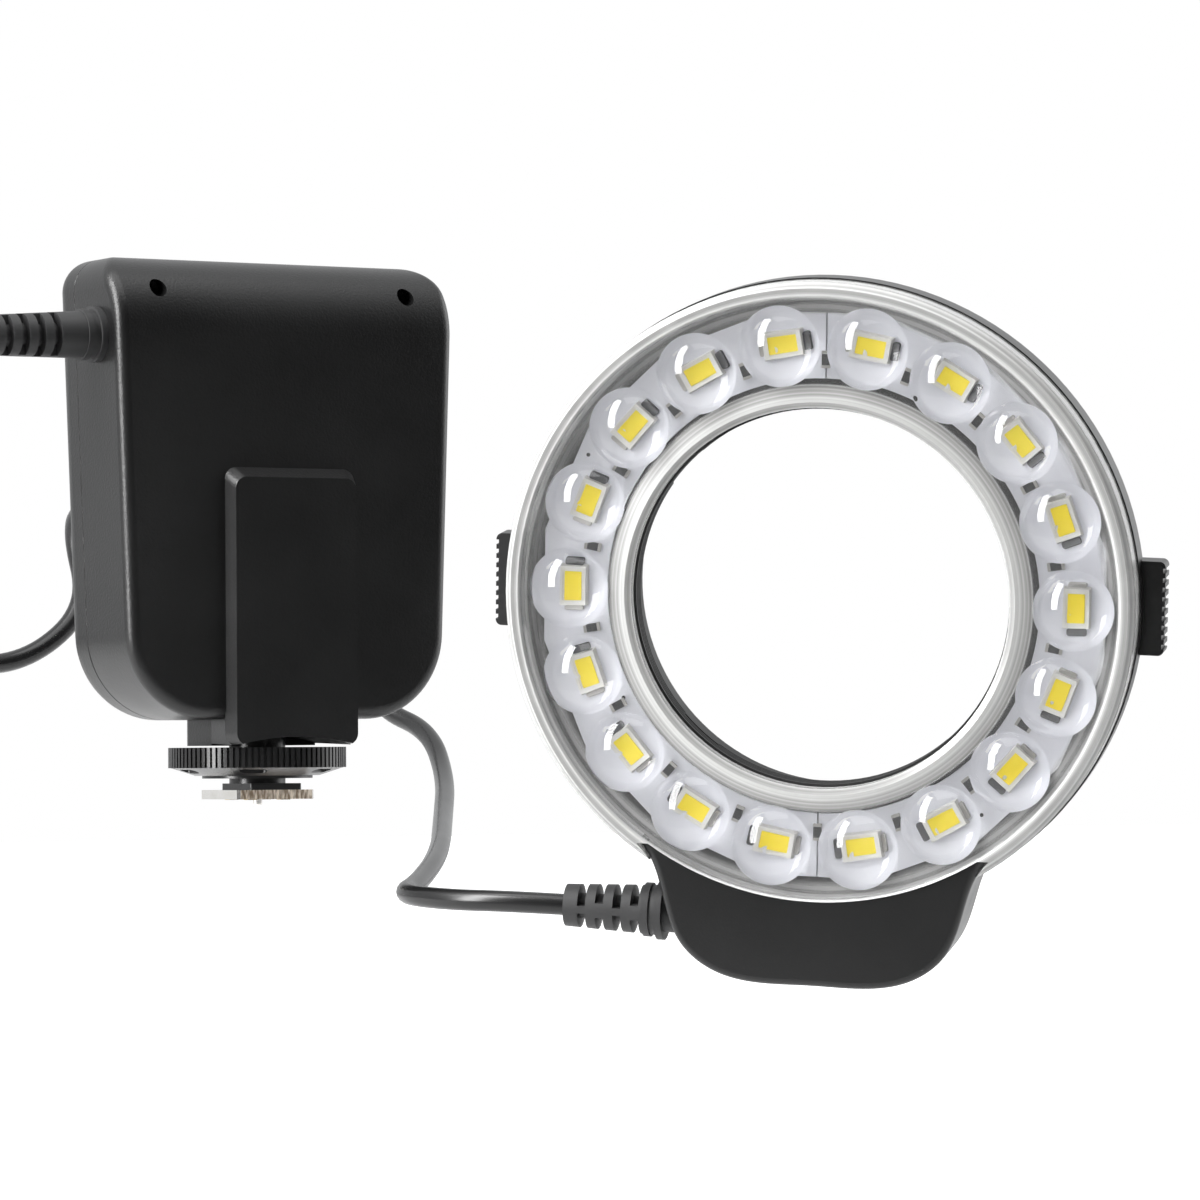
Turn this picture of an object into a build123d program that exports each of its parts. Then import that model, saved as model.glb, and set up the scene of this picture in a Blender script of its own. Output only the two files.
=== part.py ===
"""Macro ring flash: a hot-shoe controller, a ring head of eighteen lensed lamps, and the cord between them.

Millimetres, +Z up. The origin is the middle of the shoe foot's underside, the controller faces -Y, and the
ring head hangs to its right, turned towards the same side.
"""

from build123d import *
import math
import os

os.makedirs("parts", exist_ok=True)

overrun = 1.0

# Controller body
body_top_width = 82.4
body_narrowing = 7.2
body_depth = 32.0
body_front = 16.0
body_bottom = 17.2
body_height = 99.3
body_top_corner = 7.0
body_bottom_corner = 19.0
brow_radius = 16.0
front_edge_radius = 2.6
rear_edge_radius = 6.5
underside_radius = 3.0
shell_seam = 5.1
seam_chamfer = 0.25

# Strut moulded on the front, with the foot block below it
strut_base_width = 31.4
strut_face_width = 29.2
strut_relief = 3.2
strut_root = 0.35
strut_base_top = 71.4
strut_face_top = 69.0
strut_corner = 2.6
strut_bottom = 11.6
strut_arch_rise = 1.8
block_width = 25.2
block_front = 3.0
block_rear = 11.0
block_corner = 3.0

# Shoe foot, stud, washer and locking wheel
foot_width = 18.6
foot_length = 18.0
foot_thickness = 2.0
foot_corner = 0.6
insert_width = 12.0
insert_length = 13.0
neck_width = 12.4
neck_length = 14.0
neck_shift = 2.0
neck_height = 1.4
stud_radius = 6.1
stud_socket = 3.0
stud_thread_fit = 0.05
washer_radius = 12.0
washer_thickness = 0.6
washer_height = 4.5
wheel_radius = 19.3
wheel_height = 4.4
wheel_bottom = 6.8
wheel_cone_height = 1.5
wheel_cone_radius = 13.5
wheel_top_dish = 0.6
wheel_dish_radius = 15.5
knurl_count = 90
knurl_depth = 0.5
knurl_groove = 0.55
pocket_count = 6
pocket_radius = 1.3
pocket_depth = 0.9
pocket_length = 6.0
centre_pin_radius = 1.0
centre_pin_reach = 1.5
centre_pin_stem = 6.0
centre_pin_fit = 0.05
side_contact_size = 2.2
side_contact_pitch_x = 8.0
side_contact_pitch_y = 9.0
side_contact_proud = 0.15
side_contact_depth = 0.6

# Case screws
case_screw_side = 11.2
case_screw_height = 92.0
case_screw_hole = 1.95
case_screw_head = 1.85
case_screw_sink = 8.0
case_screw_length = 9.0
case_screw_shank = 1.1
screw_cross_width = 0.5
screw_cross_depth = 0.7

# Battery bay, cells and door, on the side away from the cord
cell_radius = 7.0
cell_length = 49.2
cell_nub_radius = 2.6
cell_nub_length = 1.2
cell_gap = 0.5
cell_count = 4
cell_y = -6.0
bay_clearance = 0.2
bay_base = 25.0
contact_thickness = 0.5
contact_width = 10.4
contact_gap = 0.3
door_thickness = 2.2
door_gap = 0.3
door_ledge = 0.3
door_overlap = 1.5
door_travel = 3.0
door_pin_radius = 0.55
door_pin_fit = 0.05
door_pin_end = 1.5
door_rib_count = 5
door_rib_pitch = 1.6
door_rib_depth = 0.5
door_rib_width = 0.8
door_rib_length = 9.0
door_rib_height = 10.0

# Display, board and controls on the back
board_thickness = 1.6
board_side = 6.6
board_height = 74.0
tact_switch_size = 5.0
tact_switch_height = 1.4
board_bay_margin = 1.0
board_bay_depth = 8.2
window_side = 15.6
window_height = 26.0
window_thickness = 1.2
window_corner = 2.5
window_centre = 74.0
window_gap = 0.15
display_side = 3.0
display_height = 21.0
display_thickness = 3.2
display_frame = 2.0
button_count = 4
button_inset = 2.0
button_width = 9.0
button_height = 5.4
button_corner = 2.2
button_proud = 1.3
button_travel = 0.8
button_gap = 0.2
button_row = 50.0
button_skirt = 0.9
button_edge = 0.5
test_button_radius = 4.2
ready_lamp_radius = 1.6
ready_lamp_proud = 0.5
control_row = 34.0
switch_slot_height = 5.0
switch_plate_margin = 1.5
switch_plate = 0.9
switch_knob_width = 6.5
switch_travel = 3.8
switch_inset = 6.0
switch_proud = 1.6
switch_gap = 0.25
switch_rib_count = 3

# Strain reliefs
relief_root_radius = 5.2
relief_tip_radius = 4.3
relief_length = 26.0
relief_collar_radius = 6.0
relief_collar_length = 1.4
relief_collar_count = 2
relief_collar_step = 0.5
relief_slots = 4
relief_slot_width = 1.7
relief_slot_pitch = 3.7
relief_slot_start = 3.0
relief_bridge = 3.0
relief_core = 2.6
relief_plug_radius = 4.4
relief_plug_length = 6.0
relief_plug_fit = 0.1
controller_relief_height = 82.2
controller_relief_y = -5.3

# Cord: its route between the leads is a list of points chosen by hand
cord_radius = 2.2
cord_lead = 12.0
cord_bend_share = 0.45
cord_route = (
    (-97.0, -3.0, 91.0),
    (-109.0, 7.0, 75.0),
    (-112.0, 22.0, 56.0),
    (-103.0, 37.0, 41.0),
    (-82.0, 53.0, 34.0),
    (-56.3, 66.0, 30.3),
    (-38.5, 70.6, 29.8),
    (-19.9, 73.5, 31.2),
    (-4.1, 75.4, 43.6),
    (-4.5, 84.4, 62.0),
    (5.1, 97.1, 67.7),
    (20.6, 99.3, 76.5),
    (39.4, 95.0, 82.5),
    (57.5, 89.1, 75.5),
    (68.7, 87.8, 55.5),
    (70.3, 87.5, 33.1),
    (74.2, 81.0, 20.2),
    (78.6, 64.6, 14.9),
    (71.2, 43.8, 3.7),
    (52.2, 11.1, -4.8),
    (30.5, -26.5, -12.0),
    (10.5, -53.0, -17.8),
    (-1.2, -66.5, -19.5),
    (1.6, -82.8, -20.4),
)

# Ring head: its middle at the parting plane, its right-hand and forward directions
head_x = 49.7
head_y = -149.8
head_z = 40.3
head_right = (0.7277, -0.6835, -0.0576)
head_front = (-0.6821, -0.7123, -0.1657)

ridge_width = 3.3
cover_wall = 2.0
cover_height = 7.4
cover_shoulder = 1.2
ridge_gap = 1.05
ridge_drop = 3.4
cover_plate = 1.8
bore_wall = 1.6
bore_step = 0.5
bore_front_height = 4.8
bore_wall_bottom = 1.5
funnel_width = 4.3
lamp_count = 18
dome_gap = 0.25
dome_radius = 8.15
dome_height = 4.6

lamp_length = 5.6
lamp_width = 3.7
lamp_thickness = 0.9
lamp_frame = 0.35
lamp_seat = 0.15
led_board_thickness = 1.6
led_board_margin = 5.8
led_board_sides = 16
led_board_gap = 1.2
led_board_split = 0.3
resistor_length = 3.2
resistor_width = 1.6
resistor_thickness = 0.6
resistor_offset = 3.4

housing_lip = 0.3
housing_rim_height = 6.2
housing_height = 10.8
housing_slope = 2.3
housing_wall = 2.0
floor_top = 2.6
floor_thickness = 1.6
adapter_fit = 0.08
collar_wall = 1.7
post_count = 8
post_radius = 2.2
post_offset = 3.0
lip_gap = 0.15

adapter_bore = 37.8
adapter_wall = 1.4
adapter_top = 1.2
adapter_lip_bottom = 3.4
adapter_rear_step = 2.4
adapter_cone_bottom = 8.5
adapter_flange_top = 5.3
adapter_groove_depth = 1.6
adapter_groove_top = 7.3
adapter_groove_bottom = 9.5
adapter_shoulder = 6.0
adapter_flange_bottom = 11.4
adapter_shoulder_bottom = 12.9
thread_wall = 0.8
thread_length = 2.6
bore_rib_count = 4
bore_rib_depth = 0.45
bore_rib_width = 0.5
notch_count = 4
notch_angle = 14.0
notch_depth = 1.1
notch_height = 1.6
notch_start = -41.0

back_plate_thickness = 1.8
back_plate_gap = 0.4
back_plate_chamfer = 1.2
back_screw_angles = (60.0, 90.0, 120.0, 240.0, 270.0, 300.0)
back_screw_inset = 5.1
back_boss_radius = 2.6
back_screw_radius = 1.9
back_screw_head = 1.0
back_screw_shank = 0.9
back_screw_length = 3.5

slider_top = 7.5
slider_thickness = 1.8
slider_step = 1.8
slider_width = 4.0
latch_travel = 2.5
latch_width = 18.8
latch_cap_depth = 6.4
latch_top = 3.8
latch_bottom = 9.3
latch_stem_gap = 5.5
latch_cap_gap = 0.1
link_overlap = 0.5
link_low = 6.5
link_high = 13.0
link_step = 0.4
latch_gap = 0.3
latch_rib_count = 9
latch_rib_pitch = 1.9
latch_rib_depth = 0.5
latch_corner = 1.2
claw_width = 9.0
claw_tip_gap = 0.35
slider_start_angle = 13.0
rail_width = 2.0
rail_gap = 0.15

junction_steps = ((28.2, -13.2), (31.4, -8.2), (33.2, -2.3), (37.0, 7.2), (43.3, 12.2))
junction_drop = 14.4
junction_top = 6.6
junction_seam = -2.0
junction_crown = 1.5
junction_overlap = 2.7
junction_gap = 0.15
junction_relief_drop = 2.2
junction_relief_length = 20.6
junction_relief_inward = 32.4

# Sizes that follow from the ones above: the controller's widths
body_bottom_width = body_top_width - body_narrowing
case_screw_x = body_top_width / 2 - case_screw_side
board_width = body_bottom_width - 2 * board_side
window_width = body_bottom_width - 2 * window_side
display_width = window_width - 2 * display_side
button_pitch = (window_width - button_inset) / (button_count - 1)
test_button_x = window_width / 2 - button_inset
switch_x = switch_inset - window_width / 2

# The ring's radii, from the bore outwards
adapter_sleeve_radius = adapter_bore + adapter_wall
adapter_rear_bore = adapter_bore + adapter_rear_step
adapter_groove_radius = adapter_bore + adapter_shoulder
adapter_flange_radius = adapter_groove_radius + adapter_groove_depth
filter_thread = 2 * (adapter_rear_bore + thread_wall)
collar_bore = adapter_sleeve_radius + adapter_fit
bore_radius = adapter_bore + bore_step
funnel_radius = bore_radius + funnel_width
lamp_circle = funnel_radius + dome_radius + dome_gap
ridge_inner_radius = lamp_circle + dome_radius + ridge_gap
cover_radius = ridge_inner_radius + ridge_width
housing_radius = cover_radius + housing_lip
housing_back_radius = housing_radius - housing_slope
led_board_inner = funnel_radius + led_board_gap
led_board_apothem = lamp_circle + led_board_margin
resistor_circle = lamp_circle - resistor_offset
post_circle = lamp_circle + post_offset
back_plate_bore = adapter_flange_radius + back_plate_gap
back_screw_circle = housing_back_radius - back_screw_inset
slider_inner = back_plate_bore + slider_step
slider_outer = slider_inner + slider_width
latch_stem_inner = slider_outer + latch_stem_gap
latch_cap_inner = housing_back_radius + latch_cap_gap
latch_reach = latch_cap_inner + latch_cap_depth
link_outer = latch_stem_inner + link_overlap
link_inner = slider_inner + link_step
junction_overlap_radius = cover_radius - junction_overlap
junction_flank = [(housing_radius - inward, -housing_radius - down) for inward, down in junction_steps]
junction_bottom = -housing_radius - junction_drop
junction_relief_y = -housing_radius - junction_relief_drop
junction_relief_x = junction_relief_inward - housing_radius

body_top = body_bottom + body_height
plate_top = cover_height - ridge_drop
body_rear = body_depth - body_front
taper = math.degrees(math.atan((body_top_width - body_bottom_width) / 2 / body_height))
head = Plane(origin=(head_x, head_y, head_z), x_dir=head_right, z_dir=head_front)
head_section = Plane(origin=head.origin, x_dir=head.x_dir, z_dir=-head.y_dir)
optical_axis = Axis(head.origin, head.z_dir)


def save(piece, label):
    """Names a finished piece and writes its STEP file."""
    piece.part.label = label
    export_step(piece.part, f"parts/{label}.step")


def body_width_at(height):
    """Width of the controller at a height above the foot."""
    share = (height - body_bottom) / body_height
    return body_bottom_width + (body_top_width - body_bottom_width) * share


# Controller: the whole outside as one block, cut into shells further down
with BuildPart() as body_block:
    with BuildSketch(Plane.XZ.offset(-body_rear)) as front_outline:
        with BuildLine():
            Polyline(
                (-body_bottom_width / 2, body_bottom),
                (body_bottom_width / 2, body_bottom),
                (body_top_width / 2, body_top),
                (-body_top_width / 2, body_top),
                close=True,
            )
        make_face()
        fillet(front_outline.vertices().group_by(Axis.Y)[0], body_bottom_corner)
        fillet(front_outline.vertices().group_by(Axis.Y)[-1], body_top_corner)
    extrude(amount=body_depth)
    fillet(body_block.faces().sort_by(Axis.Y)[-1].edges(), rear_edge_radius)
    with BuildSketch(Plane.YZ.offset(-body_top_width / 2)) as side_outline:
        with BuildLine():
            Polyline(
                (-body_front, body_bottom),
                (body_rear, body_bottom),
                (body_rear, body_top),
                (-body_front, body_top),
                close=True,
            )
        make_face()
        brow = side_outline.vertices().group_by(Axis.Y)[-1].sort_by(Axis.X)[0]
        fillet(brow, brow_radius)
    extrude(amount=body_top_width, mode=Mode.INTERSECT)
    front_face = body_block.faces().sort_by(Axis.Y)[0]
    brow_face = body_block.faces().filter_by(GeomType.CYLINDER).sort_by(Axis.Y)[0]
    rim = (front_face.edges() + brow_face.edges()).filter_by(
        lambda edge: abs(edge.center().X) > body_top_width / 4 or edge.center().Z < body_top / 2
    )
    fillet(rim, front_edge_radius)

# Battery bay and door, laid out from the cells
bay_low = body_bottom + bay_base
bay_height = cell_count * 2 * cell_radius + (cell_count - 1) * cell_gap + 2 * bay_clearance
bay_high = bay_low + bay_height
bay_front = cell_y - cell_radius - bay_clearance
bay_back = cell_y + cell_radius + bay_clearance
side = Plane(
    origin=(body_bottom_width / 2, 0, body_bottom),
    x_dir=(0, 1, 0),
    z_dir=(math.cos(math.radians(taper)), 0, -math.sin(math.radians(taper))),
)
door_front = bay_front - door_ledge
door_hinge_y = bay_back + door_ledge + door_thickness / 2
door_back = door_hinge_y + door_thickness / 2
door_low = bay_base - door_overlap
door_high = bay_base + bay_height + door_overlap
door_height = door_high - door_low
door_section = Plane(origin=side.origin + side.y_dir * door_low, x_dir=side.x_dir, z_dir=side.y_dir)
cell_right = body_width_at(bay_low) / 2 - door_thickness - contact_thickness - contact_gap
cell_left = cell_right - cell_length - cell_nub_length
bay_left = cell_left - contact_thickness - contact_gap
pin_low = door_gap + door_travel + door_pin_end
pin_high = door_travel + door_pin_end
pin_hole_radius = door_pin_radius + door_pin_fit

# Board, display and control levels behind the rear wall
rear_wall_inner = shell_seam + board_bay_depth
display_front = rear_wall_inner - display_thickness
board_front = display_front - board_thickness
board_centre = (body_bottom + body_top) / 2
window_z = body_bottom + window_centre
button_z = body_bottom + button_row
control_z = body_bottom + control_row
button_x = [(index - (button_count - 1) / 2) * button_pitch for index in range(button_count)]
switch_slot_width = switch_knob_width + switch_travel + 2 * switch_gap
back_inside = Plane.XZ.offset(-rear_wall_inner)
screw_z = body_bottom + case_screw_height
screw_seat = -body_front + case_screw_sink

left_wall_x = -body_width_at(body_bottom + controller_relief_height) / 2
controller_relief_seat = Plane(
    origin=(left_wall_x, controller_relief_y, body_bottom + controller_relief_height),
    x_dir=(0, -1, 0),
    z_dir=(-side.z_dir.X, 0, side.z_dir.Z),
)

with BuildPart() as front_shell:
    add(body_block.part)
    split(bisect_by=Plane.XZ.offset(-shell_seam), keep=Keep.TOP)
    chamfer(front_shell.faces().sort_by(Axis.Y)[-1].edges(), seam_chamfer)
    with BuildSketch(Plane.XZ.offset(body_front - strut_root)):
        with Locations((0, (strut_base_top + strut_bottom) / 2)):
            RectangleRounded(strut_base_width, strut_base_top - strut_bottom, strut_corner)
    with BuildSketch(Plane.XZ.offset(body_front + strut_relief)):
        with Locations((0, (strut_face_top + strut_bottom) / 2)):
            RectangleRounded(strut_face_width, strut_face_top - strut_bottom, strut_corner)
    loft()
    with BuildSketch(Plane.XY.offset(strut_bottom)):
        with BuildLine():
            Polyline(
                (-strut_base_width / 2 + strut_corner / 2, -body_front),
                (strut_base_width / 2 - strut_corner / 2, -body_front),
                (block_width / 2, -block_front),
                (-block_width / 2, -block_front),
                close=True,
            )
        make_face()
    extrude(amount=body_bottom - strut_bottom + underside_radius)
    arch_radius = ((strut_face_width / 2) ** 2 + strut_arch_rise**2) / (2 * strut_arch_rise)
    with BuildSketch(Plane.XZ.offset(block_front - overrun)):
        with Locations((0, strut_bottom + strut_arch_rise - arch_radius)):
            Circle(arch_radius)
    extrude(amount=body_front + strut_relief + overrun, mode=Mode.SUBTRACT)
    with BuildSketch(Plane.XY.offset(strut_bottom - overrun)):
        Circle(stud_radius)
    extrude(amount=stud_socket + overrun, mode=Mode.SUBTRACT)
    # battery bay, the recess that takes the door, and the holes that take its pin
    with BuildSketch(Plane.YZ.offset(bay_left)):
        with Locations(((bay_front + bay_back) / 2, (bay_low + bay_high) / 2)):
            Rectangle(bay_back - bay_front, bay_height)
    extrude(amount=body_top_width, mode=Mode.SUBTRACT)
    with BuildSketch(side.offset(overrun)):
        with Locations(((door_front + door_back) / 2, (door_low + door_high - door_travel) / 2)):
            Rectangle(door_back - door_front + 2 * door_gap, door_height + door_travel + 2 * door_gap)
    extrude(amount=-door_thickness - door_gap - overrun, mode=Mode.SUBTRACT)
    with BuildSketch(door_section.offset(-pin_low - door_travel)):
        with Locations((door_hinge_y, door_thickness / 2)):
            Circle(pin_hole_radius)
    extrude(amount=door_height + pin_low + pin_high + door_travel, mode=Mode.SUBTRACT)
    # socket of the strain relief
    with BuildSketch(controller_relief_seat.offset(-relief_plug_length)):
        Circle(relief_plug_radius + relief_plug_fit)
    extrude(amount=relief_plug_length + overrun, mode=Mode.SUBTRACT)
    # recessed screw holes in the brow
    with BuildSketch(Plane.XZ.offset(-screw_seat)):
        with GridLocations(2 * case_screw_x, 0, 2, 1):
            with Locations((0, screw_z)):
                Circle(case_screw_hole)
    extrude(amount=case_screw_sink + overrun, mode=Mode.SUBTRACT)
    with BuildSketch(Plane.XZ.offset(-screw_seat)):
        with GridLocations(2 * case_screw_x, 0, 2, 1):
            with Locations((0, screw_z)):
                Circle(case_screw_shank)
    extrude(amount=-case_screw_length, mode=Mode.SUBTRACT)
save(front_shell, "controller_front_shell")

with BuildPart() as rear_shell:
    add(body_block.part)
    split(bisect_by=Plane.XZ.offset(-shell_seam), keep=Keep.BOTTOM)
    chamfer(rear_shell.faces().sort_by(Axis.Y)[0].edges(), seam_chamfer)
    with BuildSketch(Plane.XZ.offset(-shell_seam)):
        with Locations((0, board_centre)):
            RectangleRounded(
                board_width + 2 * board_bay_margin, board_height + 2 * board_bay_margin, window_corner
            )
    extrude(amount=-board_bay_depth, mode=Mode.SUBTRACT)
    with BuildSketch(Plane.XZ.offset(-body_rear)):
        with Locations((0, window_z)):
            RectangleRounded(window_width + 2 * window_gap, window_height + 2 * window_gap, window_corner)
    extrude(amount=window_thickness, mode=Mode.SUBTRACT)
    with BuildSketch(back_inside):
        with Locations((0, window_z)):
            Rectangle(display_width, display_height)
        for x in button_x:
            with Locations((x, button_z)):
                RectangleRounded(button_width + 2 * button_gap, button_height + 2 * button_gap, button_corner)
        with Locations((test_button_x, control_z)):
            Circle(test_button_radius + button_gap)
        with Locations((0, control_z)):
            Circle(ready_lamp_radius)
        with Locations((switch_x, control_z)):
            Rectangle(switch_slot_width, switch_slot_height)
    extrude(amount=-body_rear, mode=Mode.SUBTRACT)
    for x in (-case_screw_x, case_screw_x):
        with BuildSketch(Plane.XZ.offset(-screw_seat)):
            with Locations((x, screw_z)):
                Circle(case_screw_shank)
        extrude(amount=-case_screw_length, mode=Mode.SUBTRACT)
save(rear_shell, "controller_rear_shell")

with BuildPart() as foot_block:
    with BuildSketch(Plane.XY.offset(strut_bottom)) as block_outline:
        with BuildLine():
            Polyline(
                (-block_width / 2, -block_front),
                (block_width / 2, -block_front),
                (block_width / 2, block_rear),
                (-block_width / 2, block_rear),
                close=True,
            )
        make_face()
        fillet(block_outline.vertices().group_by(Axis.Y)[-1], block_corner)
    extrude(amount=body_bottom - strut_bottom)
    with BuildSketch(Plane.XY.offset(strut_bottom)):
        Circle(stud_radius)
    extrude(amount=stud_socket, mode=Mode.SUBTRACT)
save(foot_block, "foot_block")

with BuildPart() as case_screws:
    with BuildSketch(Plane.XZ.offset(-screw_seat)):
        with GridLocations(2 * case_screw_x, 0, 2, 1):
            with Locations((0, screw_z)):
                Circle(case_screw_shank)
    extrude(amount=-case_screw_length)
    with BuildSketch(Plane.XZ.offset(-screw_seat)):
        with GridLocations(2 * case_screw_x, 0, 2, 1):
            with Locations((0, screw_z)):
                Circle(case_screw_head)
    extrude(amount=case_screw_head)
    with BuildSketch(Plane.XZ.offset(-screw_seat + case_screw_head)):
        with GridLocations(2 * case_screw_x, 0, 2, 1):
            with Locations((0, screw_z)):
                Rectangle(2 * case_screw_shank, screw_cross_width)
                Rectangle(screw_cross_width, 2 * case_screw_shank)
    extrude(amount=-screw_cross_depth, mode=Mode.SUBTRACT)
save(case_screws, "case_screws")

# Shoe foot: a metal plate with a moulded insert, contacts, the stud above it, and what turns on the stud
with BuildPart() as foot_plate:
    with BuildSketch() as foot_outline:
        Rectangle(foot_width, foot_length)
        chamfer(foot_outline.vertices(), foot_corner)
        Rectangle(insert_width, insert_length, mode=Mode.SUBTRACT)
    extrude(amount=foot_thickness)
save(foot_plate, "foot_plate")

with BuildPart() as contact_insert:
    with BuildSketch():
        Rectangle(insert_width, insert_length)
        Circle(centre_pin_radius + centre_pin_fit, mode=Mode.SUBTRACT)
    extrude(amount=foot_thickness)
    with BuildSketch():
        with GridLocations(side_contact_pitch_x, side_contact_pitch_y, 2, 2):
            Rectangle(side_contact_size, side_contact_size)
    extrude(amount=side_contact_depth, mode=Mode.SUBTRACT)
save(contact_insert, "contact_insert")

with BuildPart() as side_contacts:
    with BuildSketch(Plane.XY.offset(-side_contact_proud)):
        with GridLocations(side_contact_pitch_x, side_contact_pitch_y, 2, 2):
            Rectangle(side_contact_size, side_contact_size)
    extrude(amount=side_contact_depth + side_contact_proud)
save(side_contacts, "side_contacts")

neck_top = foot_thickness + neck_height
with BuildPart() as shoe_stud:
    with BuildSketch(Plane.XY.offset(foot_thickness)):
        with Locations((0, -neck_shift)):
            RectangleRounded(neck_width, neck_length, foot_corner)
    extrude(amount=neck_height)
    with BuildSketch(Plane.XY.offset(neck_top)):
        Circle(stud_radius)
    extrude(amount=strut_bottom + stud_socket - neck_top)
    with BuildSketch(Plane.XY.offset(foot_thickness)):
        Circle(centre_pin_radius + centre_pin_fit)
    extrude(amount=centre_pin_stem, mode=Mode.SUBTRACT)
save(shoe_stud, "shoe_stud")

with BuildPart() as centre_pin:
    with BuildSketch(Plane.XY.offset(-centre_pin_reach)):
        Circle(centre_pin_radius)
    extrude(amount=centre_pin_stem)
    fillet(centre_pin.edges().sort_by(Axis.Z)[0], centre_pin_radius / 2)
save(centre_pin, "centre_pin")

washer_top = washer_height + washer_thickness
with BuildPart() as clamp_washer:
    with BuildSketch(Plane.XY.offset(washer_height)):
        Circle(washer_radius)
        Circle(stud_radius + stud_thread_fit, mode=Mode.SUBTRACT)
    extrude(amount=washer_thickness)
save(clamp_washer, "clamp_washer")

wheel_top = wheel_bottom + wheel_height
with BuildPart() as locking_wheel:
    with BuildSketch(Plane.XY.offset(wheel_bottom)):
        Circle(wheel_radius)
        with PolarLocations(wheel_radius, knurl_count):
            Rectangle(2 * knurl_depth, knurl_groove, mode=Mode.SUBTRACT)
    extrude(amount=wheel_height)
    with BuildSketch(Plane.XY.offset(washer_top)):
        Circle(wheel_cone_radius)
    with BuildSketch(Plane.XY.offset(wheel_bottom)):
        Circle(wheel_radius - knurl_depth)
    loft()
    with BuildSketch(Plane.XY.offset(wheel_top)):
        Circle(wheel_dish_radius)
    extrude(amount=-wheel_top_dish, mode=Mode.SUBTRACT)
    with BuildSketch(Plane.XY.offset(washer_top)):
        with PolarLocations((wheel_cone_radius + wheel_radius) / 2, pocket_count):
            SlotOverall(pocket_length, 2 * pocket_radius, rotation=90)
    extrude(amount=wheel_bottom - washer_top + pocket_depth, mode=Mode.SUBTRACT)
    with BuildSketch(Plane.XY.offset(washer_top)):
        Circle(stud_radius + stud_thread_fit)
    extrude(amount=wheel_top - washer_top, mode=Mode.SUBTRACT)
save(locking_wheel, "locking_wheel")

# Cells lie across the controller, one above the other, alternately turned
for index in range(cell_count):
    cell_z = bay_low + bay_clearance + cell_radius + index * (2 * cell_radius + cell_gap)
    forward = index % 2 == 0
    nub_start = cell_right - cell_nub_length if forward else cell_left
    can_start = cell_left if forward else cell_left + cell_nub_length
    with BuildPart() as cell:
        with BuildSketch(Plane.YZ.offset(can_start)):
            with Locations((cell_y, cell_z)):
                Circle(cell_radius)
        extrude(amount=cell_length)
        with BuildSketch(Plane.YZ.offset(nub_start)):
            with Locations((cell_y, cell_z)):
                Circle(cell_nub_radius)
        extrude(amount=cell_nub_length)
    save(cell, f"cell_{index + 1}")

contact_low = bay_low + door_travel + door_gap + bay_clearance
contact_high = bay_high - 2 * bay_clearance
with BuildPart() as bay_contact:
    with BuildSketch(Plane.YZ.offset(bay_left)):
        with Locations((cell_y, (bay_low + bay_high) / 2)):
            Rectangle(contact_width, contact_high - contact_low)
    extrude(amount=contact_thickness)
save(bay_contact, "bay_contact")

with BuildPart() as battery_door:
    with BuildSketch(door_section) as door_profile:
        with BuildLine():
            Polyline(
                (door_front, 0),
                (door_hinge_y, 0),
                (door_hinge_y, door_thickness),
                (door_front, door_thickness),
                close=True,
            )
        make_face()
        with Locations((door_hinge_y, door_thickness / 2)):
            Circle(door_thickness / 2)
            Circle(pin_hole_radius, mode=Mode.SUBTRACT)
    extrude(amount=door_height)
    with BuildSketch(side):
        with Locations(((door_front + bay_back) / 2, door_low + door_rib_height)):
            with GridLocations(0, door_rib_pitch, 1, door_rib_count):
                SlotOverall(door_rib_length, door_rib_width)
    extrude(amount=-door_rib_depth, mode=Mode.SUBTRACT)
save(battery_door, "battery_door")

with BuildPart() as door_pin:
    with BuildSketch(door_section.offset(-pin_low)):
        with Locations((door_hinge_y, door_thickness / 2)):
            Circle(door_pin_radius)
    extrude(amount=door_height + pin_low + pin_high)
save(door_pin, "door_pin")

with BuildPart() as door_contact:
    with BuildSketch(side.offset(-door_thickness)):
        with Locations((cell_y, (contact_low + contact_high) / 2 - body_bottom)):
            Rectangle(contact_width, contact_high - contact_low)
    extrude(amount=-contact_thickness)
save(door_contact, "door_contact")

# Display, board and controls
with BuildPart() as display_window:
    with BuildSketch(Plane.XZ.offset(-body_rear)):
        with Locations((0, window_z)):
            RectangleRounded(window_width, window_height, window_corner)
    extrude(amount=window_thickness)
save(display_window, "display_window")

with BuildPart() as display_module:
    with BuildSketch(back_inside):
        with Locations((0, window_z)):
            Rectangle(display_width + 2 * display_frame, display_height + 2 * display_frame)
    extrude(amount=display_thickness)
save(display_module, "display_module")

with BuildPart() as main_board:
    with BuildSketch(Plane.XZ.offset(-display_front)):
        with Locations((0, board_centre)):
            Rectangle(board_width, board_height)
    extrude(amount=board_thickness)
    with BuildSketch(Plane.XZ.offset(-display_front)):
        for x in button_x:
            with Locations((x, button_z)):
                Rectangle(tact_switch_size, tact_switch_size)
        with Locations((test_button_x, control_z)):
            Rectangle(tact_switch_size, tact_switch_size)
    extrude(amount=-tact_switch_height)
save(main_board, "main_board")

for index, x in enumerate(button_x):
    with BuildPart() as button:
        with BuildSketch(back_inside):
            with Locations((x, button_z)):
                RectangleRounded(button_width, button_height, button_corner)
        extrude(amount=-(body_rear + button_proud - rear_wall_inner))
        fillet(button.faces().sort_by(Axis.Y)[-1].edges(), button_edge)
        with BuildSketch(back_inside):
            with Locations((x, button_z)):
                Rectangle(button_width + 2 * button_skirt, button_height + 2 * button_skirt)
        extrude(amount=button_skirt)
    save(button, f"menu_button_{index + 1}")

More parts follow.
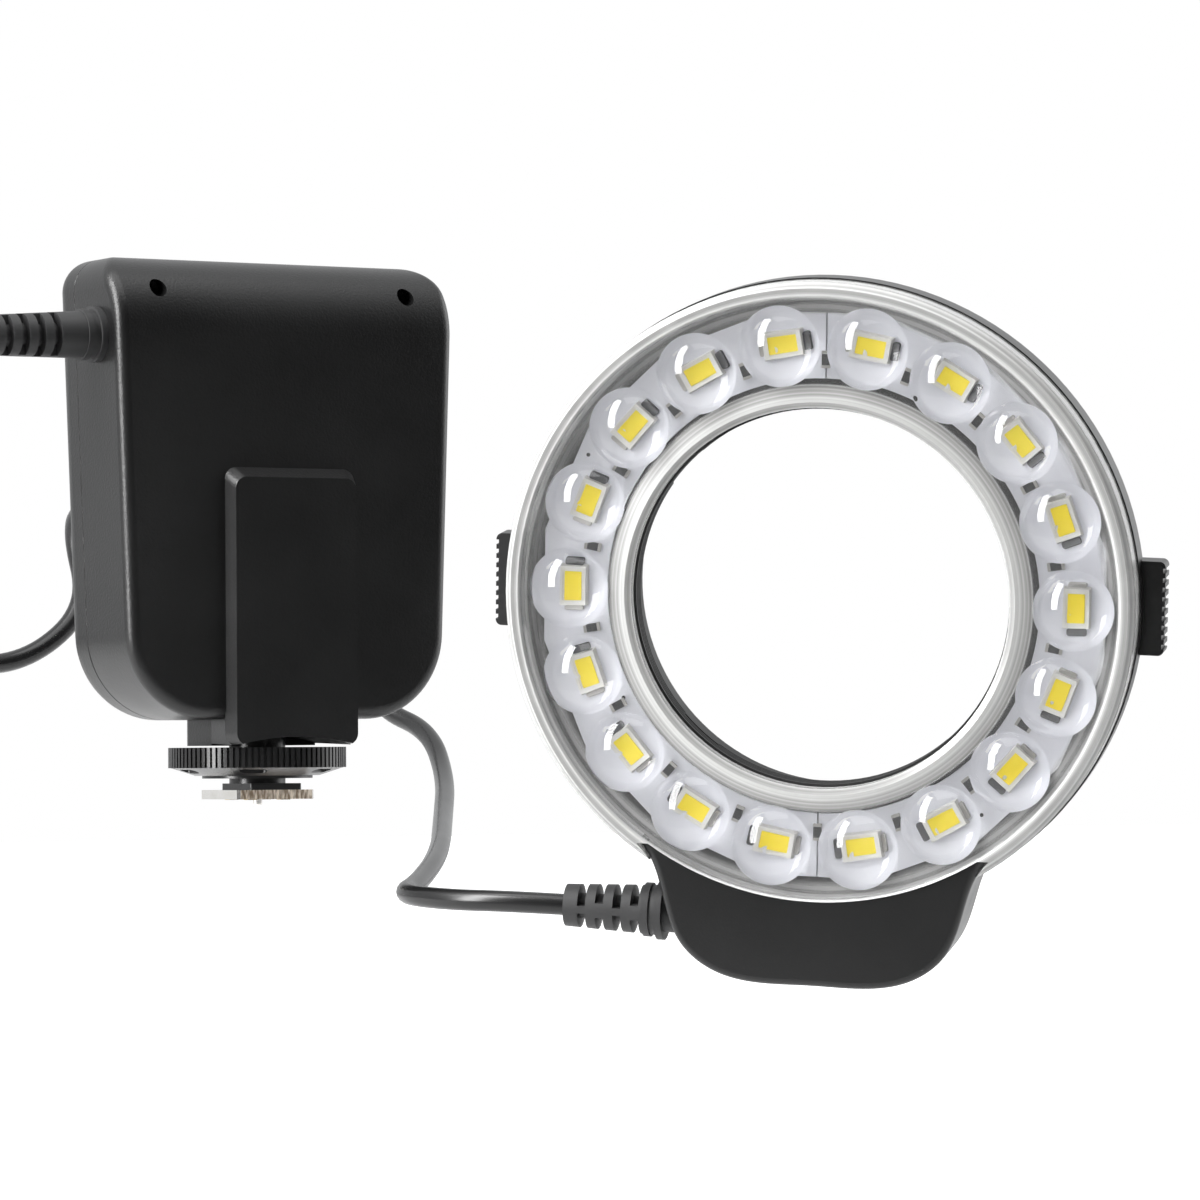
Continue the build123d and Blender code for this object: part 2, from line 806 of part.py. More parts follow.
with BuildPart() as test_button:
    with BuildSketch(back_inside):
        with Locations((test_button_x, control_z)):
            Circle(test_button_radius)
    extrude(amount=-(body_rear + button_proud - rear_wall_inner))
    fillet(test_button.edges().sort_by(Axis.Y)[-1], button_edge)
    with BuildSketch(back_inside):
        with Locations((test_button_x, control_z)):
            Circle(test_button_radius + button_skirt)
    extrude(amount=button_skirt)
save(test_button, "test_button")

with BuildPart() as ready_lamp:
    with BuildSketch(back_inside):
        with Locations((0, control_z)):
            Circle(ready_lamp_radius)
    extrude(amount=-(body_rear + ready_lamp_proud - rear_wall_inner))
    fillet(ready_lamp.edges().sort_by(Axis.Y)[-1], ready_lamp_proud)
save(ready_lamp, "ready_lamp")

knob_x = switch_x - switch_travel / 2
with BuildPart() as power_switch:
    with BuildSketch(back_inside):
        with Locations((knob_x, control_z)):
            Rectangle(switch_knob_width, switch_slot_height - 2 * switch_gap)
    extrude(amount=-(body_rear + switch_proud - rear_wall_inner))
    with BuildSketch(Plane.XZ.offset(-body_rear - switch_proud)):
        with Locations((knob_x, control_z)):
            with GridLocations(switch_knob_width / switch_rib_count, 0, switch_rib_count, 1):
                Rectangle(door_rib_width, switch_slot_height)
    extrude(amount=door_rib_depth, mode=Mode.SUBTRACT)
    with BuildSketch(back_inside):
        with Locations((knob_x, control_z)):
            Rectangle(
                switch_knob_width + 2 * switch_plate_margin + switch_travel,
                switch_slot_height + 2 * switch_plate_margin,
            )
    extrude(amount=switch_plate)
save(power_switch, "power_switch")


def strain_relief(seat, length, label):
    """A tapered sleeve round the cord with half-round slots cut from alternate sides."""
    with BuildPart() as relief:
        with BuildSketch(seat):
            Circle(relief_root_radius)
        with BuildSketch(seat.offset(length)):
            Circle(relief_tip_radius)
        loft()
        for index in range(relief_slots):
            with BuildSketch(seat.offset(length - relief_slot_start - index * relief_slot_pitch)):
                Circle(relief_root_radius + overrun)
                Circle(relief_core, mode=Mode.SUBTRACT)
                turned = 1 if index % 2 == 0 else -1
                with Locations((0, turned * relief_root_radius)):
                    Rectangle(relief_bridge, 2 * relief_root_radius, mode=Mode.SUBTRACT)
                with Locations((0, -turned * relief_root_radius)):
                    Rectangle(relief_bridge / 2, 2 * relief_root_radius, mode=Mode.SUBTRACT)
            extrude(amount=-relief_slot_width, mode=Mode.SUBTRACT)
        for index in range(relief_collar_count):
            with BuildSketch(seat.offset(index * 2 * relief_collar_length)):
                Circle(relief_collar_radius - index * relief_collar_step)
            extrude(amount=relief_collar_length)
        with BuildSketch(seat):
            Circle(relief_plug_radius)
        extrude(amount=-relief_plug_length)
    save(relief, label)


strain_relief(controller_relief_seat, relief_length, "controller_strain_relief")


# Ring head: everything below is laid out on the plane between the clear cover and the housing
def head_level(height):
    """The plane at a height above the parting plane, towards the subject."""
    return head.offset(height)


with BuildPart() as lens_dome:
    sphere_radius = (dome_radius**2 + dome_height**2) / (2 * dome_height)
    with BuildSketch(Plane.XZ):
        with BuildLine():
            RadiusArc((0, plate_top + dome_height), (dome_radius, plate_top), sphere_radius)
            Polyline(
                (dome_radius, plate_top),
                (dome_radius, plate_top - cover_plate / 2),
                (0, plate_top - cover_plate / 2),
                (0, plate_top + dome_height),
            )
        make_face()
    revolve(axis=Axis.Z)


def junction_outline(margin):
    """The closed outline of the junction box below the ring, grown by a margin."""
    right = [(x + margin, y) for x, y in junction_flank]
    left = [(-x, y) for x, y in right]
    with BuildSketch() as outline:
        with BuildLine():
            Spline(*left, (0, junction_bottom - margin), *reversed(right))
            Line(right[0], left[0])
        make_face()
    return outline.sketch


with BuildPart(head) as front_cover:
    with BuildSketch(head_section):
        with BuildLine():
            Polyline(
                (cover_radius, 0),
                (cover_radius, cover_height - cover_shoulder),
                (cover_radius - cover_shoulder, cover_height),
                (ridge_inner_radius + cover_shoulder / 2, cover_height),
                (ridge_inner_radius, cover_height - cover_shoulder / 2),
                (ridge_inner_radius, plate_top),
                (funnel_radius, plate_top),
                (bore_radius + cover_shoulder, bore_front_height),
                (bore_radius, bore_front_height - cover_shoulder / 2),
                (bore_radius, bore_wall_bottom),
                (bore_radius + bore_wall, bore_wall_bottom),
                (bore_radius + bore_wall, plate_top - cover_plate),
                (cover_radius - cover_wall, plate_top - cover_plate),
                (cover_radius - cover_wall, 0),
                close=True,
            )
        make_face()
    revolve(axis=optical_axis)
    with PolarLocations(lamp_circle, lamp_count):
        add(lens_dome.part)
    with BuildSketch(head_level(-overrun)):
        add(junction_outline(junction_gap))
        Circle(junction_overlap_radius - junction_gap, mode=Mode.SUBTRACT)
    extrude(amount=cover_height + 2 * overrun, mode=Mode.SUBTRACT)
save(front_cover, "front_cover")

half_count = lamp_count // 2
half_pitch = 180 / lamp_count
for label, first in (("lamps_right", half_pitch - 90), ("lamps_left", half_pitch + 90)):
    with BuildPart(head) as lamps:
        with PolarLocations(lamp_circle, half_count, start_angle=first, angular_range=180):
            Box(lamp_width, lamp_length, lamp_thickness, align=(Align.CENTER, Align.CENTER, Align.MIN))
        with PolarLocations(lamp_circle, half_count, start_angle=first, angular_range=180):
            with Locations((0, 0, lamp_thickness)):
                Box(
                    lamp_width - 2 * lamp_frame,
                    lamp_length - 4 * lamp_frame,
                    2 * lamp_seat,
                    mode=Mode.SUBTRACT,
                )
    save(lamps, label)

board_edge_turn = 180 / led_board_sides
for label, sign in (("led_board_left", -1), ("led_board_right", 1)):
    with BuildPart() as led_board:
        with BuildSketch(head_level(-led_board_thickness)):
            RegularPolygon(
                led_board_apothem, led_board_sides, major_radius=False, rotation=board_edge_turn
            )
            Circle(led_board_inner, mode=Mode.SUBTRACT)
            with Locations((-sign * (housing_radius - led_board_split / 2), 0)):
                Rectangle(2 * housing_radius, 2 * housing_radius, mode=Mode.SUBTRACT)
        extrude(amount=led_board_thickness)
    save(led_board, label)

with BuildPart() as resistors:
    with BuildSketch(head):
        with PolarLocations(resistor_circle, lamp_count, start_angle=half_pitch):
            Rectangle(resistor_length, resistor_width)
    extrude(amount=resistor_thickness)
save(resistors, "resistors")

junction_relief_seat = Plane(
    origin=head.from_local_coords((junction_relief_x, junction_relief_y, junction_seam)),
    x_dir=head.y_dir,
    z_dir=-head.x_dir,
)
floor_bottom = floor_top + floor_thickness
window_low = latch_bottom + latch_gap
window_high = latch_top - latch_gap
window_inner = latch_cap_inner - latch_travel - 2 * latch_gap
with BuildPart() as rear_housing:
    with BuildSketch(head_section):
        with BuildLine():
            Polyline(
                (housing_radius, 0),
                (housing_radius, -housing_rim_height),
                (housing_back_radius, -housing_height),
                (housing_back_radius - housing_wall, -housing_height),
                (housing_back_radius - housing_wall, -floor_bottom),
                (collar_bore, -floor_bottom),
                (collar_bore, bore_wall_bottom - lip_gap),
                (collar_bore + collar_wall, bore_wall_bottom - lip_gap),
                (collar_bore + collar_wall, -floor_top),
                (cover_radius - cover_wall, -floor_top),
                (cover_radius - cover_wall, 0),
                close=True,
            )
        make_face()
    revolve(axis=optical_axis)
    with BuildSketch(head_level(-floor_top)):
        with PolarLocations(post_circle, post_count, start_angle=180 / post_count):
            Circle(post_radius)
    extrude(amount=floor_top - led_board_thickness)
    with BuildSketch(head_level(-housing_height)):
        for angle in back_screw_angles:
            with PolarLocations(back_screw_circle, 1, start_angle=angle):
                Circle(back_boss_radius)
    extrude(amount=housing_height - floor_bottom)
    with BuildSketch(head_level(-housing_height)):
        add(junction_outline(0))
        Circle(housing_back_radius - housing_wall / 2, mode=Mode.SUBTRACT)
    extrude(amount=housing_height + junction_seam)
    with BuildSketch(head_level(-housing_height)):
        for angle in back_screw_angles:
            with PolarLocations(back_screw_circle, 1, start_angle=angle):
                Circle(back_screw_shank)
    extrude(amount=back_screw_length - back_plate_thickness, mode=Mode.SUBTRACT)
    with BuildSketch(head_level(-window_low)):
        with GridLocations(2 * housing_radius, 0, 2, 1):
            Rectangle(2 * (housing_radius - window_inner), latch_width + 2 * latch_gap)
    extrude(amount=window_low - window_high, mode=Mode.SUBTRACT)
    with BuildSketch(junction_relief_seat.offset(-relief_plug_length)):
        Circle(relief_plug_radius + relief_plug_fit)
    extrude(amount=2 * relief_plug_length, mode=Mode.SUBTRACT)
save(rear_housing, "rear_housing")

with BuildPart() as junction_cover:
    with BuildSketch(head_level(junction_seam)):
        add(junction_outline(0))
        Circle(housing_radius + junction_gap, mode=Mode.SUBTRACT)
    extrude(amount=-junction_seam + junction_gap)
    with BuildSketch(head_level(junction_gap)):
        add(junction_outline(0))
        Circle(junction_overlap_radius, mode=Mode.SUBTRACT)
    extrude(amount=junction_top - junction_gap)
    junction_front = junction_cover.faces().sort_by(optical_axis)[-1]
    fillet(junction_front.edges().filter_by(GeomType.BSPLINE), junction_crown)
    with BuildSketch(junction_relief_seat.offset(-relief_plug_length)):
        Circle(relief_plug_radius + relief_plug_fit)
    extrude(amount=2 * relief_plug_length, mode=Mode.SUBTRACT)
save(junction_cover, "junction_cover")

rib_step = (adapter_top + adapter_lip_bottom) / (bore_rib_count + 1)
bore_ribs = []
for index in range(bore_rib_count):
    groove = adapter_top - (index + 1) * rib_step
    bore_ribs += [
        (adapter_bore, groove + bore_rib_width / 2),
        (adapter_bore + bore_rib_depth, groove + bore_rib_width / 2),
        (adapter_bore + bore_rib_depth, groove - bore_rib_width / 2),
        (adapter_bore, groove - bore_rib_width / 2),
    ]
with BuildPart(head) as adapter_ring:
    with BuildSketch(head_section):
        with BuildLine():
            Polyline(
                (adapter_bore, adapter_top),
                *bore_ribs,
                (adapter_bore, -adapter_lip_bottom),
                (adapter_rear_bore, -adapter_cone_bottom),
                (adapter_rear_bore, -adapter_shoulder_bottom - thread_length),
                (filter_thread / 2, -adapter_shoulder_bottom - thread_length),
                (filter_thread / 2, -adapter_shoulder_bottom),
                (adapter_flange_radius, -adapter_flange_bottom),
                (adapter_flange_radius, -adapter_groove_bottom),
                (adapter_groove_radius, -adapter_groove_bottom),
                (adapter_groove_radius, -adapter_groove_top),
                (adapter_flange_radius, -adapter_groove_top),
                (adapter_flange_radius, -adapter_flange_top),
                (adapter_sleeve_radius, -adapter_flange_top),
                (adapter_sleeve_radius, adapter_top),
                close=True,
            )
        make_face()
    revolve(axis=optical_axis)
    notch_width = 2 * adapter_bore * math.tan(math.radians(notch_angle / 2))
    with BuildSketch(head_level(-adapter_lip_bottom - notch_height)):
        with PolarLocations(adapter_bore, notch_count, start_angle=notch_start):
            Rectangle(2 * notch_depth, notch_width)
    extrude(amount=2 * notch_height, mode=Mode.SUBTRACT)
save(adapter_ring, "adapter_ring")

slider_bottom = slider_top + slider_thickness
with BuildPart() as back_plate:
    with BuildSketch(head_level(-housing_height)):
        Circle(housing_back_radius)
        Circle(back_plate_bore, mode=Mode.SUBTRACT)
    extrude(amount=-back_plate_thickness)
    outer_back = back_plate.edges().group_by(optical_axis)[0].sort_by(SortBy.RADIUS)[-1]
    chamfer(outer_back, back_plate_chamfer)
    with BuildSketch(head_level(-housing_height)):
        Circle(slider_inner + 2 * rail_width)
        Circle(slider_inner + rail_width, mode=Mode.SUBTRACT)
    extrude(amount=housing_height - slider_bottom - rail_gap)
    with BuildSketch(head_level(-housing_height - back_plate_thickness)):
        for angle in back_screw_angles:
            with PolarLocations(back_screw_circle, 1, start_angle=angle):
                Circle(back_screw_shank)
    extrude(amount=back_plate_thickness, mode=Mode.SUBTRACT)
save(back_plate, "back_plate")

with BuildPart() as back_screws:
    with BuildSketch(head_level(-housing_height - back_plate_thickness)):
        for angle in back_screw_angles:
            with PolarLocations(back_screw_circle, 1, start_angle=angle):
                Circle(back_screw_shank)
    extrude(amount=back_screw_length)
    with BuildSketch(head_level(-housing_height - back_plate_thickness)):
        for angle in back_screw_angles:
            with PolarLocations(back_screw_circle, 1, start_angle=angle):
                Circle(back_screw_radius)
    extrude(amount=-back_screw_head)
save(back_screws, "back_screws")

# Each latch is one slide: a ribbed cap outside, a stem through the wall, an arm half-way round and a claw
slider_start = slider_inner * math.cos(math.radians(slider_start_angle))
latch_sides = (
    ("latch_right", head),
    ("latch_left", Plane(origin=head.origin, x_dir=-head.x_dir, z_dir=head.z_dir)),
)
for label, plane in latch_sides:
    with BuildPart() as latch:
        with BuildSketch(plane.offset(-slider_bottom)):
            Circle(slider_outer)
            Circle(slider_inner, mode=Mode.SUBTRACT)
            with Locations((0, -slider_outer)):
                Rectangle(2 * slider_outer, 2 * slider_outer, mode=Mode.SUBTRACT)
            with Locations((slider_outer, 0)):
                Rectangle(2 * (slider_outer - slider_start), 2 * link_low, mode=Mode.SUBTRACT)
            with Locations(((link_inner + link_outer) / 2, (link_low + link_high) / 2)):
                Rectangle(link_outer - link_inner, link_high - link_low)
            with Locations(((latch_stem_inner + latch_cap_inner + overrun) / 2, 0)):
                Rectangle(latch_cap_inner + overrun - latch_stem_inner, latch_width)
            with Locations((-slider_outer / 2 - adapter_groove_radius / 2, 0)):
                Rectangle(slider_outer - adapter_groove_radius, claw_width)
            Circle(adapter_groove_radius + claw_tip_gap, mode=Mode.SUBTRACT)
        extrude(amount=slider_thickness)
        with BuildSketch(plane.offset(-latch_bottom)) as cap_outline:
            with Locations(((latch_cap_inner + latch_reach) / 2, 0)):
                Rectangle(latch_reach - latch_cap_inner, latch_width)
            fillet(cap_outline.vertices().group_by(Axis.X)[-1], latch_corner)
            with Locations((latch_reach, 0)):
                with GridLocations(0, latch_rib_pitch, 1, latch_rib_count):
                    Rectangle(2 * latch_rib_depth, latch_rib_pitch / 2, mode=Mode.SUBTRACT)
        extrude(amount=latch_bottom - latch_top)
    save(latch, label)

strain_relief(junction_relief_seat, junction_relief_length, "ring_strain_relief")

# The cord leaves both reliefs along their middles and hangs in a loop behind the controller
cord_start = controller_relief_seat.offset(relief_length)
cord_end = junction_relief_seat.offset(junction_relief_length)
route = [
    cord_start.origin,
    cord_start.offset(cord_lead).origin,
    *(Vector(point) for point in cord_route),
    cord_end.offset(cord_lead).origin,
    cord_end.origin,
]
runs = [after - before for before, after in zip(route, route[1:])]
cord_radii = []
for before, after in zip(runs, runs[1:]):
    half_turn = math.radians(before.get_angle(after) / 2)
    cord_radii.append(cord_bend_share * min(before.length, after.length) / math.tan(half_turn))
with BuildPart() as sync_cord:
    with BuildLine() as cord_path:
        FilletPolyline(*route, radius=cord_radii)
    with BuildSketch(cord_start):
        Circle(cord_radius)
    sweep()
save(sync_cord, "sync_cord")
cord_length = sum(edge.length for edge in cord_path.edges())
print("cord radii", [round(radius, 1) for radius in cord_radii])
print("cord length", round(cord_length, 1), "runs", [round(run.length, 1) for run in runs])
print("cord volume", round(sync_cord.part.volume), "of", round(math.pi * cord_radius**2 * cord_length))
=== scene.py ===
"""Macro ring flash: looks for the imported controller, ring head and cord."""

import math

import bmesh
import bpy
from mathutils import Matrix, Vector


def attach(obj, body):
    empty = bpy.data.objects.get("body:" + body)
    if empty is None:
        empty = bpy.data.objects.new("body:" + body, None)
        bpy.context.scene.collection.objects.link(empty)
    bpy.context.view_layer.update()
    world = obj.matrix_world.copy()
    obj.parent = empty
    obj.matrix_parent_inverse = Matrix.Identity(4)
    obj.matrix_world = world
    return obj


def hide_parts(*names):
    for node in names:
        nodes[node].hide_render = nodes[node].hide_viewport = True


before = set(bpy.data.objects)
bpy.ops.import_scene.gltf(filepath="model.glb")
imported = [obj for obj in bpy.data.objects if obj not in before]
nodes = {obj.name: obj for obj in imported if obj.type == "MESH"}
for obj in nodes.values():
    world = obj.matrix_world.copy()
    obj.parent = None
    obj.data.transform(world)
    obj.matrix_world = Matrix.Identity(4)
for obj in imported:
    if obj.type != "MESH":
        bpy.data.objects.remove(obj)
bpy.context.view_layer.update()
MM = 0.001

# Camera
CAMERA_AT = (-0.57462, -1.11790, 0.00918)
CAMERA_AZIMUTH, CAMERA_ELEVATION, CAMERA_ROLL = 30.61, 1.53, 0.4
CAMERA_LENS, CAMERA_SENSOR = 173.25, 36.0

turn, rise, roll = (math.radians(v) for v in (CAMERA_AZIMUTH, CAMERA_ELEVATION, CAMERA_ROLL))
ahead = Vector((math.sin(turn) * math.cos(rise), math.cos(turn) * math.cos(rise), math.sin(rise)))
flat_right = Vector((math.cos(turn), -math.sin(turn), 0))
flat_up = flat_right.cross(ahead)
cam_right = flat_right * math.cos(roll) - flat_up * math.sin(roll)
cam_up = flat_right * math.sin(roll) + flat_up * math.cos(roll)
camera_data = bpy.data.cameras.new("camera")
camera_data.lens = CAMERA_LENS
camera_data.sensor_width = CAMERA_SENSOR
camera_data.clip_start, camera_data.clip_end = 0.05, 20
camera = bpy.data.objects.new("camera", camera_data)
turned = Matrix((cam_right, cam_up, -ahead)).transposed().to_4x4()
camera.matrix_world = Matrix.Translation(CAMERA_AT) @ turned
bpy.context.scene.collection.objects.link(camera)
bpy.context.scene.camera = camera

# Places
HEAD_AT = Vector((0.0497, -0.1498, 0.0403))
head_z = Vector((-0.6821, -0.7123, -0.1657)).normalized()
head_x = Vector((0.7277, -0.6835, -0.0576))
head_x = (head_x - head_z * head_x.dot(head_z)).normalized()
head_y = head_z.cross(head_x)
HEAD = Matrix.Translation(HEAD_AT) @ Matrix((head_x, head_y, head_z)).transposed().to_4x4()

LAMP_COUNT, LAMP_CIRCLE = 18, 51.0 * MM
HALF_PITCH = math.pi / LAMP_COUNT
LAMP_LENGTH, LAMP_TOP, LAMP_RECESS = 5.6 * MM, 0.9 * MM, 0.15 * MM
PHOSPHOR, PHOSPHOR_CORNER, PHOSPHOR_FILL = (2.4 * MM, 4.15 * MM), 0.15 * MM, 0.8
TERMINAL_WIDTH, TERMINAL_HEIGHT, TERMINAL_CORNER = 2.6 * MM, 0.35 * MM, 0.3 * MM
CATHODE_LENGTH, ANODE_LENGTH = 1.0 * MM, 0.6 * MM
RESISTOR_CIRCLE, RESISTOR = 47.6 * MM, (3.2 * MM, 1.6 * MM, 0.6 * MM)
RESISTOR_END, RESISTOR_END_INSET, RESISTOR_END_CORNER = 0.6 * MM, 0.2 * MM, 0.1 * MM
RESISTOR_END_LAP = (0.1 * MM, 0.06 * MM)
# each dot's turn on the board in degrees and its distance from the middle in mm
BOARD_DOTS = ((26, 54.6), (-52, 53.8), (-26, 45.4), (151, 55.0), (209, 46.0), (64, 46.2))
DOT_WIDTH, DOT_HEIGHT, DOT_SEGMENTS = 0.8 * MM, 0.05 * MM, 6

WINDOW_Z, WINDOW_HALF, WINDOW_EDGE = 91.2 * MM, (19.0 * MM, 10.5 * MM), 0.1 * MM
# the cover's finish changes within these distances inside and outside its ridge and its funnel; past the
# ridge the pale frost is painted light
COVER_RIDGE, COVER_FUNNEL, EDGE_INSIDE, EDGE_OUTSIDE = 60.2 * MM, 42.9 * MM, 0.3 * MM, 0.4 * MM
COVER_PLATE, PLATE_NEAR, PLATE_FAR, PLATE_HAZE = 4.0 * MM, 0.05 * MM, 0.15 * MM, 0.1
BOARD_EDGE, BOARD_INSIDE, BOARD_OUTSIDE, EDGE_HAZE = 57.0 * MM, 0.4 * MM, 0.8 * MM, 0.55

# Cord
CORD_RADIUS, CORD_LENGTH = 2.2 * MM, 0.58
CORD_POINTS = (
    (-66.563, -5.3, 98.458), (-78.555, -5.3, 98.024), (-97.0, -3.0, 91.0), (-109.0, 7.0, 75.0),
    (-112.0, 22.0, 56.0), (-103.0, 37.0, 41.0), (-82.0, 53.0, 34.0), (-56.3, 66.0, 30.3),
    (-38.5, 70.6, 29.8), (-19.9, 73.5, 31.2), (-4.1, 75.4, 43.6), (-4.5, 84.4, 62.0),
    (5.1, 97.1, 67.7), (20.6, 99.3, 76.5), (39.4, 95.0, 82.5), (57.5, 89.1, 75.5),
    (68.7, 87.8, 55.5), (70.3, 87.5, 33.1), (74.2, 81.0, 20.2), (78.6, 64.6, 14.9),
    (71.2, 43.8, 3.7), (52.2, 11.1, -4.8), (30.5, -26.5, -12.0), (10.5, -53.0, -17.8),
    (-1.2, -66.5, -19.5), (1.6, -82.8, -20.4), (9.257, -94.081, -20.657), (17.990, -102.285, -21.350),
)


def link(obj):
    bpy.context.scene.collection.objects.link(obj)
    return obj


def build_cord():
    curve = bpy.data.curves.new("cord", "CURVE")
    curve.dimensions = "3D"
    curve.bevel_depth = 1.0
    curve.bevel_resolution = 6
    curve.resolution_u = 10
    curve.use_fill_caps = True
    spline = curve.splines.new("NURBS")
    spline.points.add(len(CORD_POINTS) - 1)
    for point, place in zip(spline.points, CORD_POINTS):
        point.co = (*(v * MM for v in place), 1)
        point.radius = CORD_RADIUS
    spline.order_u = 3
    spline.use_endpoint_u = True
    return link(bpy.data.objects.new("cord", curve))


cord = build_cord()
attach(cord, "root")
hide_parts("sync_cord")


# Materials
CLEAR_PLASTIC_IOR = 1.49
NOISE_LOW, NOISE_HIGH = 0.3, 0.7
SLOW_SCALE, TURNED_SCALE, STREAK_SCALE = 45.0, 700.0, 900.0
SHEARED_SCALE, PLAIN_SCALE, FLOOR_SCALE = 1500.0, 300.0, 3.0
# a face of the foot counts as sheared once its normal is this near to Y
SHEARED_FROM, SHEARED_TO = 0.9, 0.95


def new_material(name):
    made = bpy.data.materials.new(name)
    made.use_nodes = True
    tree = made.node_tree
    return made, tree, tree.nodes["Principled BSDF"]


def noise(tree, scale, detail=3.0, stretch=(1, 1, 1)):
    """Noise in the object's own space, per metre, stretched along its axes."""
    mapping = tree.nodes.new("ShaderNodeMapping")
    mapping.inputs["Scale"].default_value = stretch
    made = tree.nodes.new("ShaderNodeTexNoise")
    made.inputs["Scale"].default_value = scale
    made.inputs["Detail"].default_value = detail
    tree.links.new(place_in(tree), mapping.inputs["Vector"])
    tree.links.new(mapping.outputs["Vector"], made.inputs["Vector"])
    return made.outputs["Fac"]


def ramp(tree, factor, low, high, start=NOISE_LOW, end=NOISE_HIGH):
    """A colour from low to high as the factor goes from start to end."""
    made = tree.nodes.new("ShaderNodeValToRGB")
    first, last = made.color_ramp.elements
    first.position, last.position = start, end
    first.color, last.color = (*low, 1), (*high, 1)
    tree.links.new(factor, made.inputs["Fac"])
    return made.outputs["Color"]


def place_in(tree, kind="Object"):
    """The place of the point that is shaded, or its normal, in the object's own space."""
    return tree.nodes.new("ShaderNodeTexCoord").outputs[kind]


def set_or_link(tree, socket, value):
    if isinstance(value, (int, float, tuple)):
        socket.default_value = value
    else:
        tree.links.new(value, socket)


def blend(tree, factor, first, second):
    """The first colour where the factor is 0, the second where it is 1."""
    made = tree.nodes.new("ShaderNodeMix")
    made.data_type = "RGBA"
    factor_socket, first_socket, second_socket = (made.inputs[index] for index in (0, 6, 7))
    tree.links.new(factor, factor_socket)
    set_or_link(tree, first_socket, first)
    set_or_link(tree, second_socket, second)
    return made.outputs[2]


def spread(tree, factor, low, high):
    """A value from low to high as the noise goes through its middle range."""
    made = tree.nodes.new("ShaderNodeMapRange")
    made.inputs["From Min"].default_value = NOISE_LOW
    made.inputs["From Max"].default_value = NOISE_HIGH
    made.inputs["To Min"].default_value, made.inputs["To Max"].default_value = low, high
    tree.links.new(factor, made.inputs["Value"])
    return made.outputs["Result"]


def bump(tree, shader, factor, strength, depth):
    made = tree.nodes.new("ShaderNodeBump")
    made.inputs["Strength"].default_value = strength
    made.inputs["Distance"].default_value = depth
    tree.links.new(factor, made.inputs["Height"])
    tree.links.new(made.outputs["Normal"], shader.inputs["Normal"])


def moulded(name, dark, light, rough, grain=2600.0, strength=0.12, depth=0.00004, metal=0.0):
    """A moulded or finished surface: a fine grain, a slow change of shade and of roughness."""
    made, tree, shader = new_material(name)
    shader.inputs["Metallic"].default_value = metal
    slow = noise(tree, SLOW_SCALE, 2.0)
    fine = noise(tree, grain, 2.0)
    tree.links.new(ramp(tree, slow, dark, light), shader.inputs["Base Color"])
    tree.links.new(spread(tree, slow, *rough), shader.inputs["Roughness"])
    bump(tree, shader, fine, strength, depth)
    return made


def math_node(tree, operation, first, second=0.0, third=0.0):
    """One step of arithmetic on numbers or sockets."""
    made = tree.nodes.new("ShaderNodeMath")
    made.operation = operation
    for socket, value in zip(made.inputs, (first, second, third)):
        set_or_link(tree, socket, value)
    return made.outputs[0]


def times(tree, first, second):
    return math_node(tree, "MULTIPLY", first, second)


def times_add(tree, first, second, third):
    return math_node(tree, "MULTIPLY_ADD", first, second, third)


def distance(tree, first, second):
    """How far two values are apart."""
    return math_node(tree, "ABSOLUTE", math_node(tree, "SUBTRACT", first, second))


def vector_node(tree, operation, first, second=(0, 0, 0)):
    """A linked vector and a fixed one put together."""
    made = tree.nodes.new("ShaderNodeVectorMath")
    made.operation = operation
    tree.links.new(first, made.inputs[0])
    made.inputs[1].default_value = second
    return made.outputs["Value" if operation in ("DOT_PRODUCT", "LENGTH") else "Vector"]


def step_at(tree, value, low, high):
    """0 below low, 1 above high, smooth between; low above high turns it round."""
    made = tree.nodes.new("ShaderNodeMapRange")
    made.interpolation_type = "SMOOTHSTEP"
    made.inputs["From Min"].default_value, made.inputs["From Max"].default_value = low, high
    tree.links.new(value, made.inputs["Value"])
    return made.outputs["Result"]


